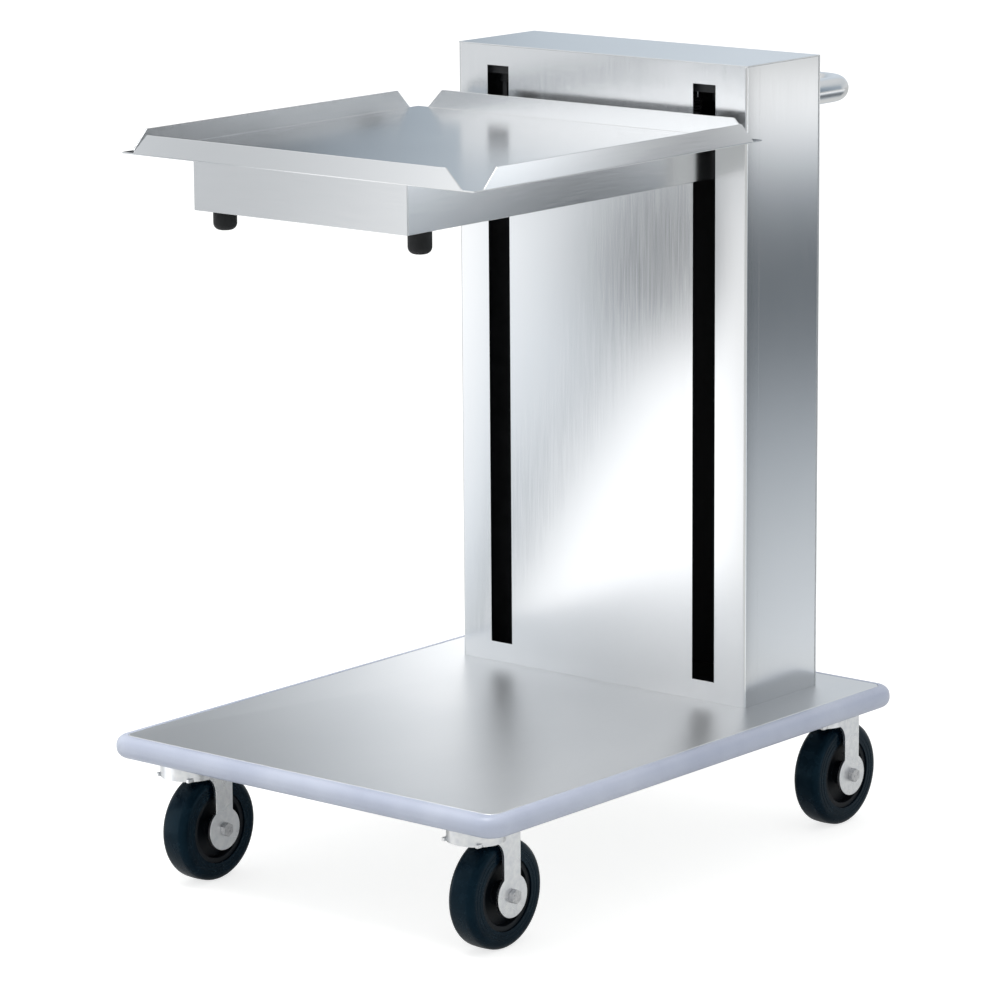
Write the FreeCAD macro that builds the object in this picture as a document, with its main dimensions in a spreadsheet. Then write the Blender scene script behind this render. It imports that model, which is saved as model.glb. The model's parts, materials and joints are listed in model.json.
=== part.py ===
import FreeCAD, Part
import math
import os
import re
import Sketcher

# Mobile tray dispenser: a sprung tray platform on two arms that ride up and down in a slotted tower,
# on a wheeled deck. Millimetres, +X right seen from the front, +Y to the rear, +Z up, floor at z = 0.

doc = FreeCAD.newDocument("tray_dispenser")

# Driving sizes, one per row
driving = {
    # wheels and casters
    "wheel_diameter": 127,
    "tread_width": 36,
    "tyre_shoulder": 9,
    "rim_diameter": 84,
    "rim_width": 32,
    "rim_wall": 6,
    "hub_web": 12,
    "hub_diameter": 28,
    "hub_length": 43,
    "hub_side_gap": 0.5,
    "wheel_top_gap": 4,
    "axle_diameter": 12,
    "axle_nut_diameter": 17,
    "axle_nut_height": 6,
    "running_gap": 0.05,
    "fork_gauge": 4,
    "leg_width": 28,
    "leg_flare": 22,
    "leg_eye_diameter": 50,
    "fork_front": 28,
    "crown_diameter": 66,
    "race_gap": 0.3,
    "race_height": 17,
    "skirt_wall": 3,
    "skirt_top_gap": 3,
    "skirt_gap": 1,
    "kingpin_diameter": 12,
    "kingpin_head_diameter": 18,
    "kingpin_head_height": 5,
    "plate_bolts_long": 73,
    "plate_bolts_wide": 44.5,
    "plate_margin_long": 9.5,
    "plate_margin_wide": 7.75,
    "plate_gauge": 5,
    "plate_corner": 12,
    "plate_pan_gap": 12.5,
    "caster_trail": 31.5,
    # fasteners
    "bolt_diameter": 8,
    "bolt_hole_gap": 0.4,
    "bolt_head_diameter": 15,
    "bolt_head_height": 5,
    "bolt_nut_height": 6.5,
    "screw_diameter": 4,
    "screw_length": 6,
    "screw_head_diameter": 8,
    "screw_head_height": 2.5,
    # deck
    "deck_width": 580,
    "deck_length": 758,
    "deck_corner": 26,
    "deck_gauge": 1.5,
    "deck_flange": 25,
    "deck_bend": 2,
    "bumper_depth": 14,
    "bumper_height": 26,
    "bumper_round": 11.5,
    "channel_height": 19.5,
    "channel_pan_gap": 0.3,
    "channel_gauge": 3,
    "channel_width": 68,
    "support_width": 66,
    # tower
    "tower_width": 430,
    "tower_depth": 143,
    "tower_height": 756,
    "tower_setback": 64.5,
    "tower_gauge": 1.5,
    "tower_bend": 3,
    "front_return": 25,
    "rear_flange": 24,
    "cap_flange": 12,
    "slot_from_side": 61,
    "slot_width": 32.5,
    "slot_sill": 24.5,
    "slot_head": 25,
    "base_gauge": 4,
    "base_bolts_wide": 240,
    "base_bolts_long": 50,
    "cover_screw_inset": 10,
    "cover_screw_margin": 30,
    "track_gauge": 2.5,
    "track_top_gap": 14,
    "bar_gauge": 3,
    "bar_height": 30,
    "bar_top_gap": 4,
    "bar_front_gap": 7,
    "bar_track_gap": 5.45,
    "stop_diameter": 20,
    "top_stop_height": 10,
    "low_stop_height": 8,
    "stop_gap": 0.3,
    # push handle
    "handle_tube": 30,
    "handle_wall": 1.5,
    "handle_from_side": 19,
    "handle_reach": 96,
    "handle_drop": 47,
    "handle_bend": 34,
    "handle_plug": 16,
    "handle_plate_gauge": 4,
    "handle_plate_height": 40,
    # lift springs
    "spring_wire": 2.2,
    "spring_coil": 40,
    "spring_turns": 22,
    "spring_bend": 5,
    "spring_end": 4,
    "spring_spacing": 70,
    "spring_front_gap": 3.4,
    "spring_count": 4,
    # carriage
    "platform_width": 514,
    "platform_length": 510,
    "platform_drop": 78,
    "platform_gauge": 2,
    "platform_gap": 26.5,
    "platform_bend": 1.5,
    "lip_height": 22,
    "lip_inset": 17,
    "arm_depth": 56,
    "arm_width": 16,
    "arm_gauge": 3,
    "arm_flange": 30,
    "arm_slot_gap": 2.25,
    "arm_rear_gap": 15.5,
    "apron_inset": 9,
    "apron_gauge": 2,
    "apron_flange": 25,
    "foot_diameter": 27,
    "foot_height": 25,
    "foot_round": 8,
    "foot_recess": 5,
    "foot_nut_height": 3.2,
    "foot_from_side": 13,
    "foot_from_front": 36,
    "cheek_gauge": 6,
    "cheek_below": 15,
    "cheek_top_gap": 7.5,
    "cheek_front_gap": 17,
    "cheek_bar_gap": 7,
    "cheek_bolts_long": 66,
    "back_plate_gauge": 4,
    "back_plate_inset": 2,
    "hook_bar_gauge": 6,
    "hook_bar_width": 30,
    # guide rollers
    "roller_diameter": 38,
    "roller_width": 20,
    "roller_gap": 0.3,
    "roller_low_edge": 1,
    "roller_high_edge": 3,
    "roller_axle": 10,
    "roller_collar": 16,
    "roller_collar_width": 3,
    "roller_clip": 15,
    "roller_clip_width": 1.5,
    "axle_past_clip": 1.5,
    "track_cheek_gap": 6,
}

# Places worked out from the driving sizes, with y counted from the middle of the deck
derived = {
    "wheel_radius": "wheel_diameter / 2",
    "fork_inside": "hub_length / 2 + hub_side_gap",
    "fork_outside": "fork_inside + fork_gauge",
    "crown_low": "wheel_diameter + wheel_top_gap",
    "crown_top": "crown_low + fork_gauge",
    "plate_low": "crown_top + race_height",
    "caster_height": "plate_low + plate_gauge",
    "skirt_top": "plate_low - skirt_top_gap",
    "plate_long": "plate_bolts_long / 2 + plate_margin_long",
    "plate_wide": "plate_bolts_wide / 2 + plate_margin_wide",
    "race_radius": "crown_diameter / 2 - skirt_wall - skirt_gap",
    "channel_top": "caster_height + channel_height",
    "deck_top": "channel_top + deck_gauge",
    "pan_x": "deck_width / 2 - bumper_depth",
    "pan_y": "deck_length / 2 - bumper_depth",
    "pan_corner": "deck_corner - bumper_depth",
    "pan_low": "deck_top - deck_flange",
    "inner_x": "pan_x - deck_gauge",
    "inner_y": "pan_y - deck_gauge",
    "inner_corner": "pan_corner - deck_gauge",
    "caster_x": "inner_x - plate_pan_gap - plate_long",
    "caster_y": "inner_y - plate_pan_gap - plate_wide",
    "tower_x": "tower_width / 2",
    "wall_x": "tower_x - tower_gauge",
    "bend_x": "tower_x - tower_bend",
    "tower_back": "deck_length / 2 - tower_setback",
    "tower_front": "tower_back - tower_depth",
    "front_inside": "tower_front + tower_gauge",
    "side_front": "tower_front + front_return",
    "side_back": "tower_back - tower_gauge",
    "back_inside": "side_back - tower_gauge",
    "tower_top": "deck_top + tower_height",
    "wall_top": "tower_top - tower_gauge",
    "slot_x": "tower_x - slot_from_side",
    "slot_inner": "slot_x - slot_width / 2",
    "slot_outer": "slot_x + slot_width / 2",
    "base_top": "deck_top + base_gauge",
    "track_y": "(front_inside + back_inside) / 2",
    "bar_top": "wall_top - bar_top_gap",
    "bar_low": "bar_top - bar_height",
    "bar_front": "front_inside + bar_front_gap",
    "bar_back": "track_y - track_half - track_gauge - bar_track_gap",
    "bar_y": "(bar_front + bar_back) / 2",
    "spring_y": "front_inside + spring_front_gap + (spring_coil + spring_wire) / 2",
    "platform_top": "tower_top - platform_drop",
    "arm_top": "platform_top - platform_gauge",
    "arm_low": "arm_top - arm_depth",
    "arm_inner": "slot_inner + arm_slot_gap",
    "arm_outer": "arm_inner + arm_width",
    "arm_web": "arm_outer - arm_gauge",
    "arm_back": "back_inside - arm_rear_gap",
    "platform_back": "tower_front - platform_gap",
    "platform_front": "platform_back - platform_length",
    "apron_front": "platform_front + apron_inset",
    "apron_back": "apron_front + apron_gauge",
    "cheek_outer": "arm_outer + cheek_gauge",
    "cheek_low": "arm_low - cheek_below",
    "cheek_top": "wall_top - cheek_top_gap",
    "cheek_front": "front_inside + cheek_front_gap",
    "shoulder_back": "bar_back + cheek_bar_gap",
    "shoulder_top": "bar_low - top_stop_height - stop_gap",
    "stop_x": "arm_outer + cheek_gauge / 2",
    "roller_radius": "roller_diameter / 2",
    "roller_low": "cheek_low + roller_radius + roller_low_edge",
    "roller_high": "cheek_top - roller_radius - roller_high_edge",
    "roller_in": "cheek_outer + roller_collar_width + roller_gap",
    "roller_out": "roller_in + roller_width",
    "clip_in": "roller_out + roller_gap",
    "track_half": "roller_radius + roller_gap",
    "track_x": "cheek_outer + track_cheek_gap",
    "hook_top": "arm_low + hook_bar_gauge",
    "handle_z": "tower_top - handle_drop",
    "handle_x": "tower_x - handle_from_side",
    "handle_y": "tower_back + handle_reach - handle_tube / 2",
    "plate_in": "back_inside - handle_plate_gauge",
    "bolt_radius": "bolt_diameter / 2",
    "bolt_hole": "bolt_radius + bolt_hole_gap",
    "screw_hole": "screw_diameter / 2 + bolt_hole_gap / 2",
    "cover_screw_x": "tower_x - cover_screw_inset",
    "reach_back": "caster_y + caster_trail + wheel_radius",
    "reach_front": "max(deck_length / 2; -platform_front)",
    "deck_y": "(reach_front - reach_back) / 2",
}

size = doc.addObject("Spreadsheet::Sheet", "size")
place = doc.addObject("Spreadsheet::Sheet", "place")


def formula(text, own=None):
    """Plain words become references to the sheet that holds them."""
    def refer(found):
        word = found.group(0)
        if word in driving:
            return f"size.{word}"
        if word in derived:
            return word if own == "place" else f"place.{word}"
        return word
    return re.sub(r"[a-z_]+", refer, str(text))


def number(text):
    return float(place.evalExpression(formula(text)))


def fill_sheets():
    for row, (word, amount) in enumerate(driving.items(), 1):
        size.set(f"A{row}", word)
        size.set(f"B{row}", str(amount))
        size.setAlias(f"B{row}", word)
    doc.recompute()
    for row, word in enumerate(derived, 1):
        place.set(f"A{row}", word)
        place.setAlias(f"B{row}", word)
    for row, text in enumerate(derived.values(), 1):
        place.set(f"B{row}", "=" + formula(text, "place"))
    doc.recompute()


fill_sheets()
nodes = {}


def bind(thing, property_name, text):
    thing.setExpression(property_name, formula(text))


def locate(thing, x, y, z):
    for axis, text in zip("xyz", (x, y, z)):
        bind(thing, f"Placement.Base.{axis}", text)


def keep(label, thing):
    """A finished piece: its label names its file, and it moves with the deck's place in the frame."""
    thing.Label = label
    bind(thing, "Placement.Base.y", "deck_y")
    nodes[label] = thing
    return thing


# Solid pieces from primitives and booleans

def block(low, high):
    box = doc.addObject("Part::Box", "block")
    locate(box, *low)
    for side, start, end in zip(("Length", "Width", "Height"), low, high):
        bind(box, side, f"({end}) - ({start})")
    return box


turns = {"x": FreeCAD.Rotation(FreeCAD.Vector(0, 1, 0), 90),
         "y": FreeCAD.Rotation(FreeCAD.Vector(1, 0, 0), -90),
         "z": FreeCAD.Rotation()}


def rod(axis, start, radius, length):
    cylinder = doc.addObject("Part::Cylinder", "rod")
    cylinder.Placement = FreeCAD.Placement(FreeCAD.Vector(), turns[axis])
    locate(cylinder, *start)
    bind(cylinder, "Radius", radius)
    bind(cylinder, "Height", length)
    return cylinder


def hexagon(axis, start, diameter, length):
    prism = doc.addObject("Part::Prism", "hexagon")
    prism.Placement = FreeCAD.Placement(FreeCAD.Vector(), turns[axis])
    locate(prism, *start)
    prism.Polygon = 6
    bind(prism, "Circumradius", f"({diameter}) / 2")
    bind(prism, "Height", length)
    return prism


def join(things):
    fused = doc.addObject("Part::MultiFuse", "join")
    fused.Shapes = things
    fused.Refine = True
    return fused


def cut(base, tools):
    result = doc.addObject("Part::Cut", "cut")
    result.Base = base
    result.Tool = tools[0] if len(tools) == 1 else join(tools)
    return result


def group(things):
    compound = doc.addObject("Part::Compound", "group")
    compound.Links = things
    return compound


def shifted(axis, start, text):
    """The start point moved along one axis by a formula."""
    return tuple(f"({value}) + ({text})" if name == axis else value for name, value in zip("xyz", start))


def bolt(axis, start, grip, head_first=True):
    """A hexagon bolt with its nut. Grip runs from start along the axis; the head is at one end of it."""
    heights = ["bolt_head_height", "bolt_nut_height"]
    first, last = heights if head_first else heights[::-1]
    lower = shifted(axis, start, f"-{first}")
    return join([hexagon(axis, lower, "bolt_head_diameter", first),
                 rod(axis, lower, "bolt_radius", f"{first} + ({grip}) + {last}"),
                 hexagon(axis, shifted(axis, start, grip), "bolt_head_diameter", last)])


# Bodies made of sketches and features

def body_of(name):
    return doc.addObject("PartDesign::Body", name)


def sketch_on(body, plane, offset="0"):
    sketch = body.newObject("Sketcher::SketchObject", "sketch")
    origin = [feature for feature in body.Origin.OriginFeatures if feature.Role == f"{plane}_Plane"]
    sketch.AttachmentSupport = [(origin[0], "")]
    sketch.MapMode = "FlatFace"
    bind(sketch, "AttachmentOffset.Base.z", offset)
    return sketch


def dimension(sketch, kind, *arguments):
    index = sketch.addConstraint(Sketcher.Constraint(kind, *arguments[:-1], number(arguments[-1])))
    bind(sketch, f"Constraints[{index}]", arguments[-1])


def outline(sketch, corners, arcs=None):
    """A closed outline through the corners. arcs: edge number to (radius, 1 to turn left or -1 right)."""
    arcs = arcs or {}
    points = [FreeCAD.Vector(number(x), number(y), 0) for x, y in corners]
    ends = []
    for edge, start in enumerate(points):
        finish = points[(edge + 1) % len(points)]
        if edge not in arcs:
            ends.append((sketch.addGeometry(Part.LineSegment(start, finish), False), 1, 2))
            continue
        radius, turn = number(arcs[edge][0]), arcs[edge][1]
        chord = finish - start
        rise = math.sqrt(max(radius ** 2 - (chord.Length / 2) ** 2, 0))
        side = FreeCAD.Vector(-chord.y, chord.x, 0).normalize()
        middle = (start + finish) / 2 + side * (rise * turn)
        first, last = (start, finish) if turn > 0 else (finish, start)
        angles = [math.atan2(point.y - middle.y, point.x - middle.x) for point in (first, last)]
        circle = Part.Circle(middle, FreeCAD.Vector(0, 0, 1), radius)
        arc = sketch.addGeometry(Part.ArcOfCircle(circle, *angles), False)
        ends.append((arc, 1, 2) if turn > 0 else (arc, 2, 1))
    for edge, (line, begin, end) in enumerate(ends):
        after, after_begin, _ = ends[(edge + 1) % len(ends)]
        sketch.addConstraint(Sketcher.Constraint("Coincident", line, end, after, after_begin))
    for (line, begin, _), (x, y) in zip(ends, corners):
        dimension(sketch, "DistanceX", -1, 1, line, begin, x)
        dimension(sketch, "DistanceY", -1, 1, line, begin, y)
    for edge, (radius, _) in arcs.items():
        dimension(sketch, "Radius", ends[edge][0], radius)


def circle_in(sketch, x, y, radius):
    centre = FreeCAD.Vector(number(x), number(y), 0)
    ring = sketch.addGeometry(Part.Circle(centre, FreeCAD.Vector(0, 0, 1), number(radius)), False)
    dimension(sketch, "DistanceX", -1, 1, ring, 3, x)
    dimension(sketch, "DistanceY", -1, 1, ring, 3, y)
    dimension(sketch, "Radius", ring, radius)


def rectangle(low_x, high_x, low_y, high_y):
    return [(low_x, low_y), (high_x, low_y), (high_x, high_y), (low_x, high_y)]


def rounded(half_x, half_y, radius):
    """Corners and arcs of a rounded rectangle about the middle."""
    x, y = f"{half_x} - ({radius})", f"{half_y} - ({radius})"
    corners = [(f"-({x})", f"-{half_y}"), (x, f"-{half_y}"), (half_x, f"-({y})"), (half_x, y),
               (x, half_y), (f"-({x})", half_y), (f"-{half_x}", y), (f"-{half_x}", f"-({y})")]
    return corners, {edge: (radius, 1) for edge in (1, 3, 5, 7)}


def pad(body, plane, low, high, draw):
    """Material between two levels along the plane's axis; draw fills the sketch."""
    sketch = sketch_on(body, plane, f"-({low})" if plane == "XZ" else low)
    draw(sketch)
    feature = body.newObject("PartDesign::Pad", "pad")
    feature.Profile = sketch
    feature.Reversed = plane == "XZ"
    bind(feature, "Length", f"({high}) - ({low})")
    doc.recompute()
    return feature


def pocket(body, plane, low, high, draw):
    """A cut between two levels along the plane's axis; it has to take material away."""
    before = body.Shape.Volume
    sketch = sketch_on(body, plane, f"-({low})" if plane == "XZ" else high)
    draw(sketch)
    feature = body.newObject("PartDesign::Pocket", "pocket")
    feature.Profile = sketch
    bind(feature, "Length", f"({high}) - ({low})")
    doc.recompute()
    if not body.Shape.Volume < before:
        raise ValueError(f"a pocket in {body.Label} cuts nothing")
    return feature


def turned(body, axis, corners, arcs=None):
    """A ring or disc turned about the sketch's H_Axis (along X) or V_Axis (along Z)."""
    sketch = sketch_on(body, "XZ")
    outline(sketch, corners, arcs)
    feature = body.newObject("PartDesign::Revolution", "turned")
    feature.Profile = sketch
    feature.ReferenceAxis = (sketch, [axis])
    feature.Angle = 360
    doc.recompute()
    return feature


def round_off(body, feature, radius, picks):
    """Fillet the edges of the last feature that picks accepts."""
    names = [f"Edge{index}" for index, edge in enumerate(feature.Shape.Edges, 1) if picks(edge)]
    fillet = body.newObject("PartDesign::Fillet", "fillet")
    fillet.Base = (feature, names)
    bind(fillet, "Radius", radius)
    doc.recompute()
    return fillet


def at_height(*levels):
    """Picks edges that lie flat at one of the given heights."""
    heights = [number(level) for level in levels]

    def picks(edge):
        box = edge.BoundBox
        return any(abs(box.ZMin - height) < 1e-4 and abs(box.ZMax - height) < 1e-4 for height in heights)
    return picks


corners_of = {"front_left": (-1, -1), "front_right": (1, -1), "rear_left": (-1, 1), "rear_right": (1, 1)}
sides = {"left": -1, "right": 1}
ends_of_deck = {"front": -1, "rear": 1}


def deck():
    pan = body_of("deck_pan")
    slab = pad(pan, "XY", "pan_low", "deck_top",
               lambda sketch: outline(sketch, *rounded("pan_x", "pan_y", "pan_corner")))
    round_off(pan, slab, "deck_bend", at_height("deck_top"))
    hollow = rounded("inner_x", "inner_y", "inner_corner")
    pocket(pan, "XY", "pan_low", "channel_top", lambda sketch: outline(sketch, *hollow))

    def holes(sketch):
        for x, y in base_bolt_places():
            circle_in(sketch, x, y, "bolt_hole")
    pocket(pan, "XY", "channel_top", "deck_top", holes)
    keep("deck_pan", pan)

    bumper = body_of("bumper")
    rim = rounded("(deck_width / 2)", "(deck_length / 2)", "deck_corner")
    ring = pad(bumper, "XY", "deck_top - bumper_height", "deck_top", lambda sketch: outline(sketch, *rim))
    round_off(bumper, ring, "bumper_round", at_height("deck_top - bumper_height", "deck_top"))
    pocket(bumper, "XY", "deck_top - bumper_height", "deck_top",
           lambda sketch: outline(sketch, *rounded("pan_x", "pan_y", "pan_corner")))
    keep("bumper", bumper)


def base_bolt_places():
    return [(f"{x} * base_bolts_wide / 2", f"track_y + {y} * base_bolts_long / 2")
            for x in (-1, 1) for y in (-1, 1)]


def upright_channel(label, middle, width, bolt_places):
    """A channel with its web down and its legs up against the deck, its ends following the pan's corners."""
    half, gap = f"({width}) / 2", "channel_pan_gap"
    outer = body_of("channel_room")
    room = rounded(f"(inner_x - {gap})", f"(inner_y - {gap})", f"inner_corner - {gap}")
    pad(outer, "XY", "caster_height", "channel_top", lambda sketch: outline(sketch, *room))
    slab = block(("-pan_x", f"({middle}) - {half}", "caster_height"),
                 ("pan_x", f"({middle}) + {half}", "channel_top"))
    bar = doc.addObject("Part::Common", "channel_bar")
    bar.Base, bar.Tool = outer, slab
    inner = block(("-pan_x", f"({middle}) - {half} + channel_gauge", "caster_height + channel_gauge"),
                  ("pan_x", f"({middle}) + {half} - channel_gauge", "channel_top"))
    holes = [rod("z", (x, y, "caster_height"), "bolt_hole", "channel_gauge") for x, y in bolt_places]
    keep(label, cut(bar, [inner] + holes))


def caster_bolt_places(x_side, y_side):
    return [(f"{x_side} * caster_x + {x} * plate_bolts_long / 2",
             f"{y_side} * caster_y + {y} * plate_bolts_wide / 2")
            for x in (-1, 1) for y in (-1, 1)]


def under_deck():
    caster_bolts = []
    for end, y_side in ends_of_deck.items():
        places = caster_bolt_places(-1, y_side) + caster_bolt_places(1, y_side)
        upright_channel(f"{end}_caster_channel", f"{y_side} * caster_y", "channel_width", places)
        caster_bolts += [bolt("z", (x, y, "plate_low"), "plate_gauge + channel_gauge") for x, y in places]
    keep("caster_bolts", group(caster_bolts))
    upright_channel("tower_support_channel", "track_y", "support_width", base_bolt_places())
    grip = "base_top - caster_height"
    keep("tower_bolts", group([bolt("z", (x, y, "caster_height"), grip, head_first=False)
                               for x, y in base_bolt_places()]))


def tower_panels():
    front = body_of("tower_front")
    bend, inner_bend = "tower_bend", "tower_bend - tower_gauge"
    curve = f"tower_front + {bend}"
    corners = [("tower_x", "side_front"), ("wall_x", "side_front"), ("wall_x", curve),
               ("bend_x", "front_inside"), ("-bend_x", "front_inside"), ("-wall_x", curve),
               ("-wall_x", "side_front"), ("-tower_x", "side_front"), ("-tower_x", curve),
               ("-bend_x", "tower_front"), ("bend_x", "tower_front"), ("tower_x", curve)]
    arcs = {2: (inner_bend, -1), 4: (inner_bend, -1), 8: (bend, 1), 10: (bend, 1)}
    pad(front, "XY", "deck_top", "wall_top", lambda sketch: outline(sketch, corners, arcs))

    def slots(sketch):
        low, high = "deck_top + slot_sill", "tower_top - slot_head"
        outline(sketch, rectangle("slot_inner", "slot_outer", low, high))
        outline(sketch, rectangle("-slot_outer", "-slot_inner", low, high))
    pocket(front, "XZ", "tower_front", "front_inside", slots)
    keep("tower_front", front)

    for side, sign in sides.items():
        panel = body_of(f"tower_{side}_side")
        edge = "tower_x - rear_flange"
        shape = [("tower_x", "side_front"), ("tower_x", f"side_back - {bend}"), ("bend_x", "side_back"),
                 (edge, "side_back"), (edge, "back_inside"), ("bend_x", "back_inside"),
                 ("wall_x", f"side_back - {bend}"), ("wall_x", "side_front")]
        mirrored = [(f"{sign} * ({x})", y) for x, y in shape]
        pad(panel, "XY", "deck_top", "wall_top",
            lambda sketch: outline(sketch, mirrored, {1: (bend, sign), 5: (inner_bend, -sign)}))

        def fixing_holes(sketch):
            for z in cover_screw_heights():
                circle_in(sketch, f"{sign} * cover_screw_x", z, "screw_hole")
            circle_in(sketch, f"{sign} * handle_x", "handle_z", "bolt_hole")
        pocket(panel, "XZ", "back_inside", "side_back", fixing_holes)
        keep(f"tower_{side}_side", panel)

    cap = join([block(("-tower_x", "tower_front", "wall_top"), ("tower_x", "tower_back", "tower_top")),
                block(("-bend_x", "front_inside", "wall_top - cap_flange"),
                      ("bend_x", "front_inside + tower_gauge", "wall_top")),
                block(("-bend_x", "back_inside - tower_gauge", "wall_top - cap_flange"),
                      ("bend_x", "back_inside", "wall_top"))])
    keep("tower_top_cap", cap)


cover_screw_count = 5


def cover_screw_heights():
    low, high = "(deck_top + cover_screw_margin)", "(handle_z - cover_screw_margin)"
    steps = cover_screw_count - 1
    return [f"{low} + {index} * ({high} - {low}) / {steps}" for index in range(cover_screw_count)]


def tower_back():
    cover = body_of("rear_cover")
    pad(cover, "XZ", "side_back", "tower_back",
        lambda sketch: outline(sketch, rectangle("-tower_x", "tower_x", "deck_top", "wall_top")))

    def fixing_holes(sketch):
        for sign in sides.values():
            for z in cover_screw_heights():
                circle_in(sketch, f"{sign} * cover_screw_x", z, "screw_hole")
            circle_in(sketch, f"{sign} * handle_x", "handle_z", "bolt_hole")
    pocket(cover, "XZ", "side_back", "tower_back", fixing_holes)
    keep("rear_cover", cover)

    screws = []
    for sign in sides.values():
        for z in cover_screw_heights():
            x = f"{sign} * cover_screw_x"
            tip, head = (x, "tower_back - screw_length", z), (x, "tower_back", z)
            screws.append(join([rod("y", tip, "screw_diameter / 2", "screw_length"),
                                rod("y", head, "screw_head_diameter / 2", "screw_head_height")]))
    keep("rear_cover_screws", group(screws))


def tower_inside():
    keep("tower_base_plate",
         cut(block(("-bend_x", "front_inside", "deck_top"), ("bend_x", "back_inside", "base_top")),
             [rod("z", (x, y, "deck_top"), "bolt_hole", "base_gauge") for x, y in base_bolt_places()]))
    for side, sign in sides.items():
        track = body_of(f"{side}_track")
        outer, inner = "track_half + track_gauge", "track_half"
        web = "wall_x - track_gauge"
        shape = [("track_x", f"track_y - ({outer})"), ("wall_x", f"track_y - ({outer})"),
                 ("wall_x", f"track_y + {outer}"), ("track_x", f"track_y + {outer}"),
                 ("track_x", f"track_y + {inner}"), (web, f"track_y + {inner}"),
                 (web, f"track_y - {inner}"), ("track_x", f"track_y - {inner}")]
        mirrored = [(f"{sign} * ({x})", y) for x, y in shape]
        pad(track, "XY", "base_top", "wall_top - track_top_gap", lambda sketch: outline(sketch, mirrored))
        keep(f"{side}_track", track)

    anchor = body_of("spring_anchor_bar")
    front_leg, back_leg, web_top = "bar_front + bar_gauge", "bar_back - bar_gauge", "bar_low + bar_gauge"
    shape = [("bar_front", "bar_low"), ("bar_back", "bar_low"), ("bar_back", "bar_top"),
             (back_leg, "bar_top"), (back_leg, web_top), (front_leg, web_top), (front_leg, "bar_top"),
             ("bar_front", "bar_top")]
    pad(anchor, "YZ", "-wall_x", "wall_x", lambda sketch: outline(sketch, shape))
    keep("spring_anchor_bar", anchor)

    stops = []
    levels = (("bar_low - top_stop_height", "top_stop_height"), ("base_top", "low_stop_height"))
    for sign in sides.values():
        for low, height in levels:
            stops.append(rod("z", (f"{sign} * stop_x", "bar_y", low), "stop_diameter / 2", height))
    keep("rubber_stops", group(stops))


def handle():
    plate_half = "handle_plate_height / 2"
    plate = block(("-bend_x", "plate_in", f"handle_z - {plate_half}"),
                  ("bend_x", "back_inside", f"handle_z + {plate_half}"))
    holes = [rod("y", (f"{sign} * handle_x", "plate_in", "handle_z"), "bolt_hole", "handle_plate_gauge")
             for sign in sides.values()]
    keep("handle_mount_plate", cut(plate, holes))

    # the tube follows a flat U drawn behind the tower, from one leg round to the other
    tube = body_of("push_handle")
    path = sketch_on(tube, "XY", "handle_z")
    bend_x, bend_y = "handle_x - handle_bend", "handle_y - handle_bend"
    stops = [("-handle_x", "tower_back"), ("-handle_x", bend_y), (f"-({bend_x})", "handle_y"),
             (bend_x, "handle_y"), ("handle_x", bend_y), ("handle_x", "tower_back")]
    open_path(path, stops, {1: "handle_bend", 3: "handle_bend"})
    ring = sketch_on(tube, "XZ", "-tower_back")
    circle_in(ring, "-handle_x", "handle_z", "handle_tube / 2")
    circle_in(ring, "-handle_x", "handle_z", "handle_tube / 2 - handle_wall")
    sweep = tube.newObject("PartDesign::AdditivePipe", "sweep")
    sweep.Profile = ring
    sweep.Spine = path
    doc.recompute()

    def plugs(sketch):
        for sign in sides.values():
            circle_in(sketch, f"{sign} * handle_x", "handle_z", "handle_tube / 2 - handle_wall")
    pad(tube, "XZ", "tower_back", "tower_back + handle_plug", plugs)

    def threads(sketch):
        for sign in sides.values():
            circle_in(sketch, f"{sign} * handle_x", "handle_z", "bolt_hole")
    pocket(tube, "XZ", "tower_back", "tower_back + handle_plug", threads)
    keep("push_handle", tube)

    bolts = []
    for sign in sides.values():
        start = (f"{sign} * handle_x", "plate_in - bolt_head_height", "handle_z")
        length = "bolt_head_height + tower_back - plate_in + handle_plug"
        bolts.append(join([hexagon("y", start, "bolt_head_diameter", "bolt_head_height"),
                           rod("y", start, "bolt_radius", length)]))
    keep("handle_bolts", group(bolts))


def open_path(sketch, corners, bends):
    """An open path through the corners, lines and right-turning arcs of the given radius."""
    points = [FreeCAD.Vector(number(x), number(y), 0) for x, y in corners]
    for edge, (start, finish) in enumerate(zip(points, points[1:])):
        if edge not in bends:
            sketch.addGeometry(Part.LineSegment(start, finish), False)
            continue
        chord = finish - start
        radius = number(bends[edge])
        side = FreeCAD.Vector(chord.y, -chord.x, 0).normalize()
        middle = (start + finish) / 2 + side * math.sqrt(max(radius ** 2 - (chord.Length / 2) ** 2, 0))
        angles = [math.atan2(point.y - middle.y, point.x - middle.x) for point in (finish, start)]
        circle = Part.Circle(middle, FreeCAD.Vector(0, 0, 1), radius)
        sketch.addGeometry(Part.ArcOfCircle(circle, *angles), False)
    last = len(points) - 2
    for edge in range(last):
        end, begin = (1 if edge in bends else 2), (2 if edge + 1 in bends else 1)
        sketch.addConstraint(Sketcher.Constraint("Coincident", edge, end, edge + 1, begin))
    for edge, (x, y) in enumerate(corners[:-1]):
        begin = 2 if edge in bends else 1
        dimension(sketch, "DistanceX", -1, 1, edge, begin, x)
        dimension(sketch, "DistanceY", -1, 1, edge, begin, y)
    dimension(sketch, "DistanceX", -1, 1, last, 2, corners[-1][0])
    dimension(sketch, "DistanceY", -1, 1, last, 2, corners[-1][1])
    for edge, radius in bends.items():
        dimension(sketch, "Radius", edge, radius)


def arc_from(start, heading, finish):
    """The circular arc that leaves start along heading and ends at finish."""
    chord = finish - start
    across = chord - heading * chord.dot(heading)
    radius = chord.dot(chord) / (2 * across.Length)
    centre = start + across.normalize() * radius
    middle = centre + ((start + finish) / 2 - centre).normalize() * radius
    return Part.Arc(start, middle, finish).toShape()


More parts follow.
